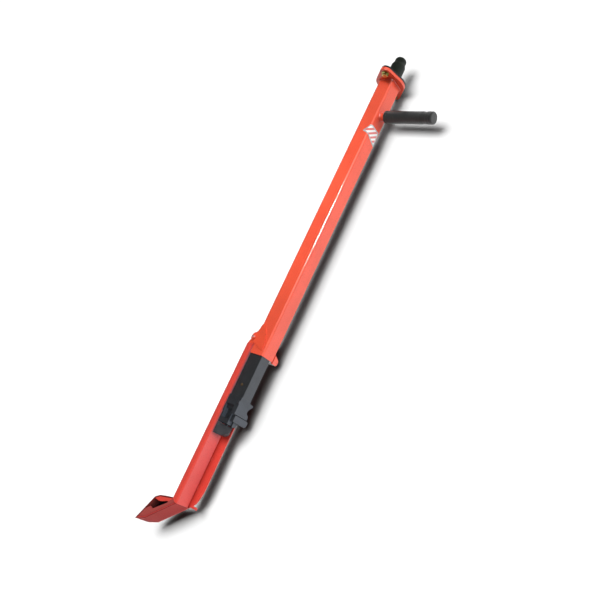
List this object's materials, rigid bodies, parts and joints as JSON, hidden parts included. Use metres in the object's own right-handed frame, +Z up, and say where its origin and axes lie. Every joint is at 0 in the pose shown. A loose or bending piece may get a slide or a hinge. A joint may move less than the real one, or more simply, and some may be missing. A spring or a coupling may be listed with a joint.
{
  "type": "screw-driven lever wrench with claw arm",
  "caption": "Long square-tube lever tool with a screw-driven sliding tongue, adjustable gripping jaws, a side grip, and a hinged arm that ends in a hollow claw.",
  "frame": {"origin": "centre of the base of the bounding box, on the surface that the tool lies on", "axes": "+X along the lever from the claw to the drive coupler, +Y towards the side that the claw arm swings to (the grip points to -Y), +Z up when the tool lies on its side"},
  "size_m": [1.2254, 0.2746, 0.112],
  "materials": {
    "red_paint": "semi-gloss powder coat",
    "arm_paint": "semi-gloss powder coat, slightly deeper red",
    "black_plate": "black paint",
    "black_steel": "black oxide on steel",
    "jaw_steel": "blackened forging",
    "nose_steel": "blackened forging, worn lighter",
    "coupler_black": "black phosphate, oiled",
    "grip_rubber": "ribbed black rubber",
    "zinc": "bright zinc",
    "gold_zinc": "yellow zinc passivate",
    "bronze": "plain bronze",
    "machined": "turned steel",
    "liner": "off-white bearing plastic",
    "badge": "plain badge, no lettering"
  },
  "bodies": {
    "lever": {"main_tube": "red_paint", "end_lip": "red_paint", "liner_pad": "liner", "guide_screw": "zinc", "hinge_ear_upper": "red_paint", "hinge_ear_lower": "red_paint", "hinge_pin": "zinc", "hinge_washer": "zinc", "hinge_nut": "zinc", "top_flange": "red_paint", "cap_plate": "black_plate", "flange_bolts": "gold_zinc", "flange_washers": "gold_zinc", "coupler_bush": "bronze", "thrust_washer": "bronze", "shaft_guide": "liner", "grip_stub": "red_paint", "grip_spindle": "zinc", "grip_ferrule": "grip_rubber", "grip_sleeve": "grip_rubber", "grip_end_cap": "grip_rubber", "label_plate": "badge"},
    "coupler": {"drive_coupler": "coupler_black", "drive_shaft": "machined", "shaft_sleeve": "machined", "shaft_pins": "machined", "lead_screw": "machined"},
    "tongue": {"tongue_bar": "black_steel", "screw_nut": "bronze", "jaw_head": "jaw_steel", "head_screws": "jaw_steel", "stop_rivet": "bronze"},
    "jaw": {"lower_jaw": "jaw_steel", "nose_wedge": "nose_steel", "jaw_screw": "machined"},
    "wheel": {"thumbwheel": "jaw_steel"},
    "claw_arm": {"arm_knuckle": "red_paint", "hinge_bush": "bronze", "arm_tube": "arm_paint", "arm_side_plate": "arm_paint", "claw_sole": "arm_paint", "claw_hood": "arm_paint", "claw_cheek": "arm_paint", "heel_peg": "arm_paint"}
  },
  "joints": [
    {"name": "arm_hinge", "type": "hinge", "parent": "lever", "child": "claw_arm", "pos_m": [-0.16375, 0.05195, 0.056], "axis": [0, 0, -1], "range_deg": [0, 130]},
    {"name": "coupler_spin", "type": "hinge", "parent": "lever", "child": "coupler", "pos_m": [-0.19825, 0.02775, 0.056], "axis": [1, 0, 0], "range_deg": [-1080, 1620]},
    {"name": "tongue_slide", "type": "slide", "parent": "lever", "child": "tongue", "axis": [-1, 0, 0], "range_m": [-0.0601, 0.0901]},
    {"name": "wheel_spin", "type": "hinge", "parent": "tongue", "child": "wheel", "pos_m": [-0.33725, 0.03215, 0.058], "axis": [1, 0, 0], "range_deg": [0, 1441]},
    {"name": "jaw_slide", "type": "slide", "parent": "tongue", "child": "jaw", "axis": [-1, 0, 0], "range_m": [0, 0.016]}
  ],
  "couplings": [
    {"joint": "tongue_slide", "follows": "coupler_spin", "m_per_rad": 0.0031831},
    {"joint": "wheel_spin", "follows": "jaw_slide", "rad_per_m": 1570.8}
  ]
}
